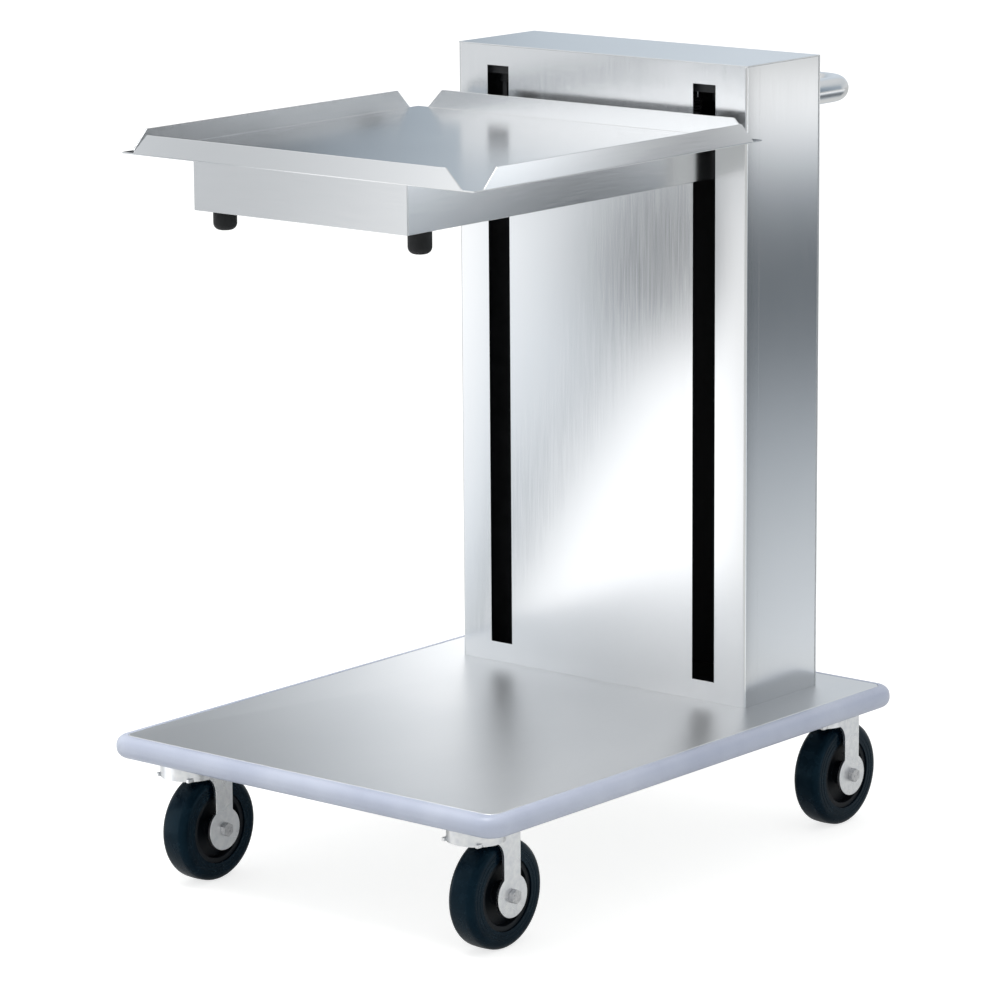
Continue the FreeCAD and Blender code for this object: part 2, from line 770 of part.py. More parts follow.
def biarc(start, heading, finish, arrival):
    """Two arcs that meet smoothly between two points with given headings."""
    gap, both = finish - start, heading + arrival
    square, half, rest = 2 * (1 - heading.dot(arrival)), gap.dot(both), gap.dot(gap)
    reach = (-half + math.sqrt(half ** 2 + square * rest)) / square
    joint = (start + heading * reach + finish - arrival * reach) / 2
    joint_heading = (joint - (start + heading * reach)).normalize()
    return [arc_from(start, heading, joint), arc_from(joint, joint_heading, finish)]


def lift_springs():
    radius, bend, end = number("spring_coil / 2"), number("spring_bend"), number("spring_end")
    low, high = number("hook_top") + end + bend, number("bar_low") - end - bend
    turn_count, wire = int(number("spring_turns")), number("spring_wire")
    pitch = (high - low) / turn_count
    rise = pitch / (2 * math.pi)
    run = math.hypot(radius, rise)

    def at(angle):
        return FreeCAD.Vector(radius * math.cos(angle), radius * math.sin(angle), low + rise * angle)

    def heading(angle):
        return FreeCAD.Vector(-radius * math.sin(angle) / run, radius * math.cos(angle) / run, rise / run)

    # a straight end, a quarter bend, the turns, a quarter bend and the other straight end
    half_turns = 2 * turn_count
    up = FreeCAD.Vector(0, 0, 1)
    first, last = at(0), at(math.pi * half_turns)
    level_in, level_out = heading(0), heading(math.pi * half_turns)
    bend_in = first - level_in * bend - up * bend
    bend_out = last + level_out * bend + up * bend
    foot, head = FreeCAD.Vector(bend_in), FreeCAD.Vector(bend_out)
    foot.z, head.z = number("hook_top"), number("bar_low")
    edges = [Part.LineSegment(foot, bend_in).toShape()] + biarc(bend_in, up, first, level_in)
    for step in range(half_turns):
        begin, finish = math.pi * step, math.pi * (step + 1)
        edges += biarc(at(begin), heading(begin), at(finish), heading(finish))
    edges += biarc(last, level_out, bend_out, up) + [Part.LineSegment(bend_out, head).toShape()]
    path = Part.Wire(edges)
    section = Part.Wire(Part.makeCircle(wire / 2, foot, up))
    coil = path.makePipeShell([section], True, False)
    expected = math.pi * wire ** 2 / 4 * path.Length
    print("spring: wire", round(path.Length), "mm, volume ratio", round(coil.Volume / expected, 4),
          ", least gap between turns", round(least_gap(path, wire, 2 * math.pi * radius), 2), "mm")
    copies = []
    spring_count = int(number("spring_count"))
    for index in range(spring_count):
        steps_from_middle = index - (spring_count - 1) / 2
        copy = coil.copy()
        copy.translate(FreeCAD.Vector(steps_from_middle * number("spring_spacing"), number("spring_y"), 0))
        copies.append(copy)
    springs = doc.addObject("Part::Feature", "lift_springs")
    springs.Shape = Part.makeCompound(copies)
    keep("lift_springs", springs)


def least_gap(path, wire, turn_length):
    """Least distance between the tube and itself, on points more than half a turn apart along it."""
    points = path.discretize(Number=900)
    skip = int(turn_length / 2 / path.Length * len(points))
    return min((a - b).Length for i, a in enumerate(points) for b in points[i + skip:i + 4 * skip]) - wire


def platform():
    tray = body_of("tray_platform")
    half, front, back = "platform_width / 2", "platform_front", "platform_back"
    low, top, rim = "arm_top", "platform_top", "platform_top + lip_height"
    pad(tray, "XY", low, top, lambda sketch: outline(sketch, rectangle(f"-{half}", half, front, back)))

    def lip(start, end):
        first, last = f"{start} + lip_inset", f"{end} - lip_inset"
        return [(first, low), (last, low), (last, top), (f"{last} - lip_height", rim),
                (f"{first} + lip_height", rim), (first, top)]
    across, along = lip(f"-{half}", half), lip(front, back)
    pad(tray, "XZ", front, f"{front} + platform_gauge", lambda sketch: outline(sketch, across))
    pad(tray, "XZ", f"{back} - platform_gauge", back, lambda sketch: outline(sketch, across))
    pad(tray, "YZ", f"-{half}", f"-{half} + platform_gauge", lambda sketch: outline(sketch, along))
    last = pad(tray, "YZ", f"{half} - platform_gauge", half, lambda sketch: outline(sketch, along))
    round_off(tray, last, "platform_bend", at_height(low))
    keep("tray_platform", tray)


def cheek_bolt_places():
    return [(f"track_y + {step} * cheek_bolts_long / 2", "arm_low + arm_depth / 2") for step in (-1, 1)]


def foot_place(sign):
    return f"{sign} * (arm_outer - foot_from_side)", "apron_front + foot_from_front"


def arms():
    for side, sign in sides.items():
        arm = body_of(f"{side}_arm")
        web = ("arm_web", "arm_outer") if sign > 0 else ("-arm_outer", "-arm_web")
        flat = rectangle("apron_back", "arm_back", "arm_low", "arm_top")
        pad(arm, "YZ", *web, lambda sketch: outline(sketch, flat))
        step, wide = "platform_back", "arm_outer - arm_flange"
        flange = [("arm_outer", "apron_back"), ("arm_outer", "arm_back"), ("arm_inner", "arm_back"),
                  ("arm_inner", step), (wide, step), (wide, "apron_back")]
        mirrored = [(f"{sign} * ({x})", y) for x, y in flange]
        for low, high in (("arm_low", "arm_low + arm_gauge"), ("arm_top - arm_gauge", "arm_top")):
            pad(arm, "XY", low, high, lambda sketch: outline(sketch, mirrored))

        def bolt_holes(sketch):
            for y, z in cheek_bolt_places():
                circle_in(sketch, y, z, "bolt_hole")
        pocket(arm, "YZ", *web, bolt_holes)
        hole = foot_place(sign) + ("screw_hole",)
        pocket(arm, "XY", "arm_low", "arm_low + arm_gauge", lambda sketch: circle_in(sketch, *hole))
        keep(f"{side}_arm", arm)

    between = "arm_outer - arm_flange"
    keep("front_apron", join([
        block(("-arm_outer", "apron_front", "arm_low"), ("arm_outer", "apron_back", "arm_top")),
        block((f"-({between})", "apron_back", "arm_low"),
              (between, "apron_back + apron_flange", "arm_low + apron_gauge")),
        block((f"-({between})", "apron_back", "arm_top - apron_gauge"),
              (between, "apron_back + apron_flange", "arm_top"))]))


def feet():
    # the foot hangs on a screw whose head sits in a recess of the foot
    pads, screws = [], []
    for side, sign in sides.items():
        x, y = foot_place(sign)
        foot = body_of(f"{side}_foot")
        rim, hole, recess = "foot_diameter / 2", "screw_hole", "screw_head_diameter / 2 + bolt_hole_gap"
        grip = "(foot_height - foot_recess)"
        section = [(hole, "0"), (hole, f"-{grip}"), (recess, f"-{grip}"), (recess, "-foot_height"),
                   (f"{rim} - foot_round", "-foot_height"), (rim, "-(foot_height - foot_round)"), (rim, "0")]
        turned(foot, "V_Axis", section, {4: ("foot_round", 1)})
        locate(foot, x, y, "arm_low")
        pads.append(foot)
        head = (x, y, f"arm_low - {grip} - screw_head_height")
        length = f"screw_head_height + {grip} + arm_gauge + foot_nut_height"
        nut = (x, y, "arm_low + arm_gauge")
        screws.append(join([rod("z", head, "screw_head_diameter / 2", "screw_head_height"),
                            rod("z", head, "screw_diameter / 2", length),
                            hexagon("z", nut, "screw_head_diameter", "foot_nut_height")]))
    keep("rubber_feet", group(pads))
    keep("foot_screws", group(screws))


def carriage():
    cheek_shape = [("cheek_front", "cheek_low"), ("arm_back", "cheek_low"), ("arm_back", "cheek_top"),
                   ("shoulder_back", "cheek_top"), ("shoulder_back", "shoulder_top"),
                   ("cheek_front", "shoulder_top")]
    bolts, axles, clips = [], [], []
    for side, sign in sides.items():
        cheek = body_of(f"{side}_cheek")
        span = ("arm_outer", "cheek_outer") if sign > 0 else ("-cheek_outer", "-arm_outer")
        pad(cheek, "YZ", *span, lambda sketch: outline(sketch, cheek_shape))

        def holes(sketch):
            for y, z in cheek_bolt_places():
                circle_in(sketch, y, z, "bolt_hole")
            for z in ("roller_low", "roller_high"):
                circle_in(sketch, "track_y", z, "roller_axle / 2 + running_gap")
        pocket(cheek, "YZ", *span, holes)
        keep(f"{side}_cheek", cheek)
        grip = "arm_gauge + cheek_gauge"
        for y, z in cheek_bolt_places():
            start = "arm_web" if sign > 0 else "-cheek_outer"
            bolts.append(bolt("x", (start, y, z), grip, head_first=sign < 0))
        for height, level in (("lower", "roller_low"), ("upper", "roller_high")):
            axles.append(roller_axle(sign, level))
            clips.append(roller_clip(sign, level))
            keep(f"{height}_{side}_roller", roller(sign, level))
    keep("cheek_bolts", group(bolts))
    keep("roller_axles", group(axles))
    keep("roller_clips", group(clips))

    inset = "back_plate_inset"
    keep("carriage_back_plate",
         group([block(("-arm_web", f"arm_back - {inset} - back_plate_gauge", "arm_low + arm_gauge"),
                      ("arm_web", f"arm_back - {inset}", "arm_top - arm_gauge"))]))
    half = "hook_bar_width / 2"
    keep("spring_hook_bar",
         group([block(("-arm_inner", f"spring_y - {half}", "arm_low"),
                      ("arm_inner", f"spring_y + {half}", "hook_top"))]))


def ring_between(sign, level, inner, outer, near, far):
    """A ring about an axis along X at the track's middle, from near to far on one side."""
    start = f"{sign} * ({near})" if sign > 0 else f"-({far})"
    whole = rod("x", (start, "track_y", level), outer, f"({far}) - ({near})")
    if inner is None:
        return whole
    return cut(whole, [rod("x", (start, "track_y", level), inner, f"({far}) - ({near})")])


def roller(sign, level):
    return ring_between(sign, level, "roller_axle / 2 + running_gap", "roller_radius",
                        "roller_in", "roller_out")


def roller_axle(sign, level):
    shank = ring_between(sign, level, None, "roller_axle / 2", "arm_outer",
                         "clip_in + roller_clip_width + axle_past_clip")
    collar = ring_between(sign, level, None, "roller_collar / 2",
                          "cheek_outer", "cheek_outer + roller_collar_width")
    return join([shank, collar])


def roller_clip(sign, level):
    return ring_between(sign, level, "roller_axle / 2 + running_gap", "roller_clip / 2",
                        "clip_in", "clip_in + roller_clip_width")


def caster_plate(name, x, y):
    plate = body_of(f"{name}_caster_plate")
    pad(plate, "XY", "plate_low", "caster_height",
        lambda sketch: outline(sketch, *rounded("plate_long", "plate_wide", "plate_corner")))
    pad(plate, "XY", "crown_top + race_gap", "plate_low",
        lambda sketch: circle_in(sketch, "0", "0", "race_radius"))

    def holes(sketch):
        for long_sign in (-1, 1):
            for wide_sign in (-1, 1):
                circle_in(sketch, f"{long_sign} * plate_bolts_long / 2",
                          f"{wide_sign} * plate_bolts_wide / 2", "bolt_hole")
    pocket(plate, "XY", "plate_low", "caster_height", holes)
    pocket(plate, "XY", "crown_top + race_gap", "caster_height",
           lambda sketch: circle_in(sketch, "0", "0", "kingpin_diameter / 2 + running_gap"))
    keep(f"{name}_caster_plate", plate)
    settle(plate, x, y, "0")


def settle(thing, x, y, z):
    """Place a piece that was drawn about its own middle, with y counted from the middle of the deck."""
    locate(thing, x, f"deck_y + ({y})", z)


def caster_fork(name, x, y):
    fork = body_of(f"{name}_fork")
    front, back = "caster_trail - leg_width / 2", "caster_trail + leg_width / 2"
    leg = [("-fork_front", "crown_top"), ("-fork_front", "crown_low"), (f"{front} - leg_flare", "crown_low"),
           (front, "crown_low - leg_flare"), (front, "wheel_radius"), (back, "wheel_radius"),
           (back, "crown_top")]
    crown = rectangle("-fork_outside", "fork_outside", "0", back)
    disc = ("0", "0", "crown_diameter / 2")
    eye = ("caster_trail", "wheel_radius", "leg_eye_diameter / 2")
    axle_bore = ("caster_trail", "wheel_radius", "axle_diameter / 2 + running_gap")
    pad(fork, "XY", "crown_low", "crown_top", lambda sketch: outline(sketch, crown))
    pad(fork, "XY", "crown_low", "crown_top", lambda sketch: circle_in(sketch, *disc))
    for span in (("fork_inside", "fork_outside"), ("-fork_outside", "-fork_inside")):
        pad(fork, "YZ", *span, lambda sketch: outline(sketch, leg, {2: ("leg_flare", -1)}))
        pad(fork, "YZ", *span, lambda sketch: circle_in(sketch, *eye))

    def skirt(sketch):
        circle_in(sketch, *disc)
        circle_in(sketch, "0", "0", "crown_diameter / 2 - skirt_wall")
    pad(fork, "XY", "crown_top", "skirt_top", skirt)
    pocket(fork, "XY", "crown_low", "crown_top",
           lambda sketch: circle_in(sketch, "0", "0", "kingpin_diameter / 2 + running_gap"))
    pocket(fork, "YZ", "-fork_outside", "fork_outside", lambda sketch: circle_in(sketch, *axle_bore))
    keep(f"{name}_fork", fork)
    settle(fork, x, y, "0")


def caster_axle(name, x, y):
    low = (f"({x}) - fork_outside - axle_nut_height", f"({y}) + caster_trail", "wheel_radius")
    high = (f"({x}) + fork_outside",) + low[1:]
    keep(f"{name}_axle", join([hexagon("x", low, "axle_nut_diameter", "axle_nut_height"),
                               rod("x", low, "axle_diameter / 2", "2 * (fork_outside + axle_nut_height)"),
                               hexagon("x", high, "axle_nut_diameter", "axle_nut_height")]))


def caster_wheel(name, x, y):
    tyre = body_of(f"{name}_tyre")
    half, rim, shoulder = "tread_width / 2", "rim_diameter / 2", "tyre_shoulder"
    flat, wall = f"{half} - {shoulder}", f"wheel_radius - {shoulder}"
    section = [(f"-{half}", rim), (half, rim), (half, wall), (flat, "wheel_radius"),
               (f"-({flat})", "wheel_radius"), (f"-{half}", wall)]
    turned(tyre, "H_Axis", section, {2: (shoulder, 1), 4: (shoulder, 1)})
    keep(f"{name}_tyre", tyre)
    hub = body_of(f"{name}_hub")
    edge, bed, web = "rim_width / 2", "rim_diameter / 2 - rim_wall", "hub_web / 2"
    boss, end, bore = "hub_diameter / 2", "hub_length / 2", "axle_diameter / 2 + running_gap"
    half_shape = [(end, bore), (end, boss), (web, boss), (web, bed), (edge, bed), (edge, rim)]
    turned(hub, "H_Axis", half_shape + [(f"-({across})", radius) for across, radius in reversed(half_shape)])
    keep(f"{name}_hub", hub)
    for piece in (tyre, hub):
        settle(piece, x, f"({y}) + caster_trail", "wheel_radius")


def casters():
    pins = []
    for name, (x_side, y_side) in corners_of.items():
        x, y = f"{x_side} * caster_x", f"{y_side} * caster_y"
        caster_plate(name, x, y)
        caster_fork(name, x, y)
        caster_axle(name, x, y)
        caster_wheel(name, x, y)
        head = (x, y, "crown_low - kingpin_head_height")
        length = "caster_height - crown_low + kingpin_head_height"
        pins.append(join([rod("z", head, "kingpin_head_diameter / 2", "kingpin_head_height"),
                          rod("z", head, "kingpin_diameter / 2", length)]))
    keep("caster_kingpins", group(pins))


def check_and_write():
    doc.recompute()
    for thing in doc.Objects:
        if "Invalid" in thing.State or "Error" in thing.State:
            raise ValueError(f"{thing.Name} did not compute: {thing.State}")
    os.makedirs("parts", exist_ok=True)
    for label, thing in nodes.items():
        shape = thing.Shape
        if shape.isNull() or not shape.isValid() or not shape.Solids:
            raise ValueError(f"{label} has no valid solid")
        shape.exportStep(os.path.join("parts", f"{label}.step"))
    print(len(nodes), "pieces written")


deck()
under_deck()
tower_panels()
tower_back()
tower_inside()
handle()
lift_springs()
platform()
arms()
feet()
carriage()
casters()
check_and_write()
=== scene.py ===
import bmesh
import bpy
import json
import math
from mathutils import Matrix, Vector


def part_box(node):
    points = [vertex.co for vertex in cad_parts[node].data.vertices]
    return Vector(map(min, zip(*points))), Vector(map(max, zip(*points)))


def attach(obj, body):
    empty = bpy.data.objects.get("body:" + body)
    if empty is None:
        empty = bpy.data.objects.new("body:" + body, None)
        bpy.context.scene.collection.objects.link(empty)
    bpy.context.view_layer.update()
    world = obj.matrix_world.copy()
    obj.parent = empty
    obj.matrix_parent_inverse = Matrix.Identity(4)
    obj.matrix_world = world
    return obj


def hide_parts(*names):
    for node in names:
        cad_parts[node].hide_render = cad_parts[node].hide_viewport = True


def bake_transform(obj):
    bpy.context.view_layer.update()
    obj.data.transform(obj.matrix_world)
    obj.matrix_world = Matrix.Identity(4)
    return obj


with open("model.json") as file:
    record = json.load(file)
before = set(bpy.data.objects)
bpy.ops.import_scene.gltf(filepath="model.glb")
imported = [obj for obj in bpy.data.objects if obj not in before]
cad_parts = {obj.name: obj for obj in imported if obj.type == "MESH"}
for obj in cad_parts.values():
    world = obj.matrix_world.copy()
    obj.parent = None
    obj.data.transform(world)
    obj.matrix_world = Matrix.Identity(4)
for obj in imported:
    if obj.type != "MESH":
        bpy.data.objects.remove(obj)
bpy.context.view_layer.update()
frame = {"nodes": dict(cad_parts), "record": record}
nodes = frame["nodes"]
bodyOf = {node: body for body, members in frame["record"]["behaviour"]["bodies"].items() for node in members}
slotOf = {part["node"]: part["material_slot"] for part in frame["record"]["subparts"]}
corners = ("front_left", "front_right", "rear_left", "rear_right")
print("frame:", len(nodes), "nodes")


# node trees

def addNode(tree, kind, inputs=None, **settings):
    node = tree.nodes.new(kind)
    for name, value in settings.items():
        setattr(node, name, value)
    for name, value in (inputs or {}).items():
        if isinstance(value, bpy.types.NodeSocket):
            tree.links.new(value, node.inputs[name])
        else:
            node.inputs[name].default_value = value
    return node


def startMaterial(name):
    material = bpy.data.materials.new(name)
    material.use_nodes = True
    tree = material.node_tree
    where = addNode(tree, "ShaderNodeTexCoord").outputs["Object"]
    return material, tree, tree.nodes["Principled BSDF"], where


def noise(tree, where, scale, stretch=(1, 1, 1), detail=2):
    mapping = addNode(tree, "ShaderNodeMapping", {"Vector": where, "Scale": stretch})
    inputs = {"Vector": mapping.outputs["Vector"], "Scale": scale, "Detail": detail}
    return addNode(tree, "ShaderNodeTexNoise", inputs).outputs["Fac"]


def spread(tree, factor, low, high, start=0.3, end=0.7):  # a number that follows the pattern
    inputs = {"Value": factor, "From Min": start, "From Max": end, "To Min": low, "To Max": high}
    return addNode(tree, "ShaderNodeMapRange", inputs).outputs["Result"]


def tint(tree, factor, stops):  # a colour that follows the pattern, stops are (place, colour)
    ramp = addNode(tree, "ShaderNodeValToRGB", {"Fac": factor})
    marks = ramp.color_ramp.elements
    while len(marks) < len(stops):
        marks.new(0.5)
    for mark, (place, colour) in zip(marks, stops):
        mark.position = place
        mark.color = (*colour, 1)
    return ramp.outputs["Color"]


def combine(tree, operation, first, second):
    return addNode(tree, "ShaderNodeMath", {0: first, 1: second}, operation=operation).outputs[0]


def bumpFrom(tree, shader, height, strength, depth):
    inputs = {"Height": height, "Strength": strength, "Distance": depth}
    bump = addNode(tree, "ShaderNodeBump", inputs)
    tree.links.new(bump.outputs["Normal"], shader.inputs["Normal"])


def finish(shader, tree, colour, roughness, metallic=0.0, **constants):
    tree.links.new(colour, shader.inputs["Base Color"])
    tree.links.new(roughness, shader.inputs["Roughness"])
    shader.inputs["Metallic"].default_value = metallic
    for name, value in constants.items():
        shader.inputs[name].default_value = value


# finishes

satinSheet = {"shade": (0.745, 0.76, 0.775), "bright": (0.80, 0.81, 0.82), "roughness": (0.19, 0.24),
              "deckRoughness": (0.36, 0.40), "grainPerMetre": 1500, "grainLength": 0.012, "grainDetail": 3,
              "grainDepth": 0.00003, "grainStrength": 0.08, "deckGrainStrength": 0.05, "cloudPerMetre": 4,
              "grainShare": 0.6, "mixSpan": (0.55, 1.05)}


def satinSteel(name, grain, roughness, strength):  # grain: the axis the sheet is brushed along
    material, tree, shader, where = startMaterial(name)
    stretch = [satinSheet["grainLength"] if axis == grain else 1 for axis in "xyz"]
    lines = noise(tree, where, satinSheet["grainPerMetre"], stretch, satinSheet["grainDetail"])
    clouds = noise(tree, where, satinSheet["cloudPerMetre"])
    mixed = combine(tree, "ADD", clouds, combine(tree, "MULTIPLY", lines, satinSheet["grainShare"]))
    colour = tint(tree, spread(tree, mixed, 0, 1, *satinSheet["mixSpan"]),
                  [(0, satinSheet["shade"]), (1, satinSheet["bright"])])
    finish(shader, tree, colour, spread(tree, lines, *roughness), 1.0)
    bumpFrom(tree, shader, lines, strength, satinSheet["grainDepth"])
    return material


# the first word of colour, roughness and bump names the pattern that drives it
finishLooks = {
    "blackenedSteelAndShade": {  # the working parts inside the tower: near-black, partly a black oxide finish and partly painted shade, so the slots read dark
        "patterns": {"oxide": {"scale": 60, "detail": 4}},
        "colour": ("oxide", [(0.3, (0.010, 0.011, 0.013)), (0.7, (0.022, 0.023, 0.026))]),
        "roughness": ("oxide", 0.6, 0.75)},
    "bumperVinyl": {
        "patterns": {"mottle": {"scale": 9, "detail": 3}, "pores": {"scale": 1400}},
        "colour": ("mottle", [(0.3, (0.44, 0.48, 0.60)), (0.7, (0.58, 0.62, 0.73))]),
        "roughness": ("pores", 0.26, 0.34), "bump": ("pores", 0.2, 0.0001)},
    "brightZinc": {
        "patterns": {"spangle": {"scale": 140, "detail": 3}, "haze": {"scale": 25}},
        "colour": ("spangle", [(0.3, (0.70, 0.72, 0.75)), (0.7, (0.83, 0.84, 0.85))]),
        "roughness": ("haze", 0.24, 0.36), "bump": ("spangle", 0.15, 0.0001), "metallic": 1.0},
    "platedSteel": {
        "patterns": {"wear": {"scale": 300, "detail": 3}},
        "colour": ("wear", [(0.3, (0.42, 0.43, 0.45)), (0.7, (0.62, 0.62, 0.63))]),
        "roughness": ("wear", 0.25, 0.4), "bump": ("wear", 0.1, 0.0001), "metallic": 1.0},
    "tyreRubber": {
        "patterns": {"scuff": {"scale": 70, "detail": 5}, "skin": {"scale": 900}},
        "colour": ("scuff", [(0.35, (0.0008, 0.005, 0.011)), (0.75, (0.003, 0.010, 0.018))]),
        "roughness": ("scuff", 0.2, 0.3), "bump": ("skin", 0.2, 0.0001),
        "constants": {"Specular IOR Level": 0.3, "Specular Tint": (0.35, 0.75, 1.0, 1), "IOR": 1.34}},
    "hubPlastic": {
        "patterns": {"grain": {"scale": 1200}, "patch": {"scale": 40}},
        "colour": ("patch", [(0.3, (0.002, 0.004, 0.007)), (0.7, (0.005, 0.008, 0.012))]),
        "roughness": ("grain", 0.4, 0.55), "bump": ("grain", 0.3, 0.0001),
        "constants": {"Specular IOR Level": 0.22}},
    "mattRubber": {
        "patterns": {"grain": {"scale": 700, "detail": 3}, "dust": {"scale": 60, "detail": 4}},
        "colour": ("dust", [(0.35, (0.003, 0.004, 0.005)), (0.75, (0.012, 0.013, 0.015))]),
        "roughness": ("grain", 0.45, 0.65), "bump": ("grain", 0.3, 0.0002),
        "constants": {"Specular IOR Level": 0.3}},
    "drawnWire": {
        "patterns": {"drawn": {"scale": 500, "stretch": (1, 1, 0.2), "detail": 3}},
        "colour": ("drawn", [(0.3, (0.26, 0.27, 0.29)), (0.7, (0.48, 0.49, 0.51))]),
        "roughness": ("drawn", 0.28, 0.42), "metallic": 1.0},
    "rollerNylon": {
        "patterns": {"cloud": {"scale": 45, "detail": 3}, "rings": {"scale": 900, "stretch": (1, 0.1, 0.1)}},
        "colour": ("cloud", [(0.3, (0.72, 0.70, 0.63)), (0.7, (0.84, 0.82, 0.76))]),
        "roughness": ("rings", 0.38, 0.5), "bump": ("rings", 0.15, 0.0001)}}


def patternedFinish(name):
    look = finishLooks[name]
    material, tree, shader, where = startMaterial(name)
    patterns = {label: noise(tree, where, **settings) for label, settings in look["patterns"].items()}
    colourBy, stops = look["colour"]
    roughBy, smoothest, roughest = look["roughness"]
    colour = tint(tree, patterns[colourBy], stops)
    roughness = spread(tree, patterns[roughBy], smoothest, roughest)
    finish(shader, tree, colour, roughness, look.get("metallic", 0.0), **look.get("constants", {}))
    if "bump" in look:
        bumpBy, strength, depth = look["bump"]
        bumpFrom(tree, shader, patterns[bumpBy], strength, depth)
    return material


steelAlong = {axis: satinSteel(f"satinSteelAlong{axis.upper()}", axis, satinSheet["roughness"],
                               satinSheet["grainStrength"]) for axis in "xyz"}
deckSteel = satinSteel("deckSteel", "y", satinSheet["deckRoughness"], satinSheet["deckGrainStrength"])
finishBySlot = {"blackened_steel": "blackenedSteelAndShade", "bumper_vinyl": "bumperVinyl",
                "fastener_steel": "platedSteel", "zinc_plate": "brightZinc", "wheel_hub": "hubPlastic",
                "tyre_black": "tyreRubber", "black_rubber": "mattRubber", "spring_wire": "drawnWire",
                "roller_nylon": "rollerNylon"}
finishes = {slot: patternedFinish(name) for slot, name in finishBySlot.items()}
# painted shade: this near-black finish also goes on the tower's inner faces
blackenedAndShade = finishes["blackened_steel"]
sheetGrain = {"tray_platform": "y", "left_arm": "y", "right_arm": "y", "front_apron": "x", "push_handle": "x",
              "tower_top_cap": "x", "front_caster_channel": "x", "rear_caster_channel": "x",
              "tower_support_channel": "x"}  # the rest are brushed upright


def finishOf(node):
    if node == "deck_pan":
        return deckSteel
    if slotOf[node] == "stainless":
        return steelAlong[sheetGrain.get(node, "z")]
    return finishes[slotOf[node]]


for nodeName, node in nodes.items():
    node.data.materials.clear()
    node.data.materials.append(finishOf(nodeName))
print("finishes:", len(bpy.data.materials))


# pieces

def newPiece(name, mesh):
    piece = bpy.data.objects.new(name, mesh)
    bpy.context.scene.collection.objects.link(piece)
    return piece


def settled(piece):  # the evaluated shape becomes a plain mesh
    mesh = bpy.data.meshes.new_from_object(piece.evaluated_get(bpy.context.evaluated_depsgraph_get()))
    piece.modifiers.clear()
    piece.data = mesh
    return piece


def standsFor(piece, node):
    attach(piece, bodyOf[node])
    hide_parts(node)
    return piece


cleanUp = {"weld": 1e-6, "flat": math.radians(0.3), "mostSides": 4}  # wider faces fold when their edges are eased


def mergedSurface(node):  # the node's triangles as one clean surface
    source = nodes[node].data
    mesh = bpy.data.meshes.new(node)
    mesh.from_pydata([v.co for v in source.vertices], [], [p.vertices for p in source.polygons])
    work = bmesh.new()
    work.from_mesh(mesh)
    bmesh.ops.remove_doubles(work, verts=work.verts, dist=cleanUp["weld"])
    bmesh.ops.dissolve_limit(work, angle_limit=cleanUp["flat"], verts=work.verts, edges=work.edges)
    wide = [face for face in work.faces if len(face.verts) > cleanUp["mostSides"]]
    bmesh.ops.triangulate(work, faces=wide)
    return mesh, work


sharpAngle = math.radians(30)
edgeSegments = 2


def smoothFaces(mesh):
    mesh.shade_smooth()
    mesh.set_sharp_from_angle(angle=sharpAngle)


# a copy of the node with its edges broken as a maker would
# it is cut at the x of each split, and edges between the two spared heights stay sharp
def easedEdges(node, width, splits=(), spared=None):
    mesh, work = mergedSurface(node)
    for x in splits:
        everything = work.verts[:] + work.edges[:] + work.faces[:]
        bmesh.ops.bisect_plane(work, geom=everything, plane_co=(x, 0, 0), plane_no=(1, 0, 0))
    weight = work.edges.layers.float.new("bevel_weight_edge")
    for edge in work.edges:
        kept = spared and all(spared[0] < vert.co.z < spared[1] for vert in edge.verts)
        edge[weight] = float(edge.calc_face_angle(0) > sharpAngle and not kept)
    work.to_mesh(mesh)
    work.free()
    mesh.materials.append(finishOf(node))
    smoothFaces(mesh)
    piece = newPiece(f"{node}_finished", mesh)
    bevel = piece.modifiers.new("edges", "BEVEL")
    bevel.width = width
    bevel.segments = edgeSegments
    bevel.limit_method = "WEIGHT"
    bevel.use_clamp_overlap = False
    bevel.loop_slide = False  # even widths, so that small holes don't fold
    bevel.harden_normals = True
    return standsFor(settled(piece), node)


edgeWidths = {"deck_pan": 0.0003, "bumper": 0.0006, "tower_top_cap": 0.0004, "rear_cover": 0.0003,
              "tower_front": 0.00015, "tower_left_side": 0.00015, "tower_right_side": 0.00015,
              "push_handle": 0.0003, "tray_platform": 0.0004, "left_arm": 0.0006, "right_arm": 0.0006,
              "front_apron": 0.0005, "rubber_feet": 0.0006, "front_caster_channel": 0.0003,
              "rear_caster_channel": 0.0003, "tower_support_channel": 0.0003, "left_cheek": 0.0004,
              "right_cheek": 0.0004, "left_track": 0.0004, "right_track": 0.0004, "spring_anchor_bar": 0.0004,
              "carriage_back_plate": 0.0004, "spring_hook_bar": 0.0004, "caster_bolts": 0.0005,
              "tower_bolts": 0.0005, "handle_bolts": 0.0005}
for corner in corners:
    edgeWidths.update({f"{corner}_fork": 0.0006, f"{corner}_axle": 0.0004, f"{corner}_hub": 0.0005,
                       f"{corner}_caster_plate": 0.0004})
rearBend = 0.006  # the painted shade on the rear cover's inside stops this far in from its sides, which stay bright
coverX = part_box("rear_cover")[1].x - rearBend
forkNeck = (0.1285, 0.1315)  # heights where a fork's legs run out into its crown, left sharp
dressed = {node: easedEdges(node, width, (-coverX, coverX) if node == "rear_cover" else (),
                            forkNeck if node.endswith("_fork") else None)
           for node, width in edgeWidths.items()}
print("eased edges:", len(dressed))


def paintInsideShade(piece, facesInward):  # painted shade: faces that look into the tower get the near-black finish
    piece.data.materials.append(blackenedAndShade)
    for face in piece.data.polygons:
        if facesInward(face.center, face.normal):
            face.material_index = 1


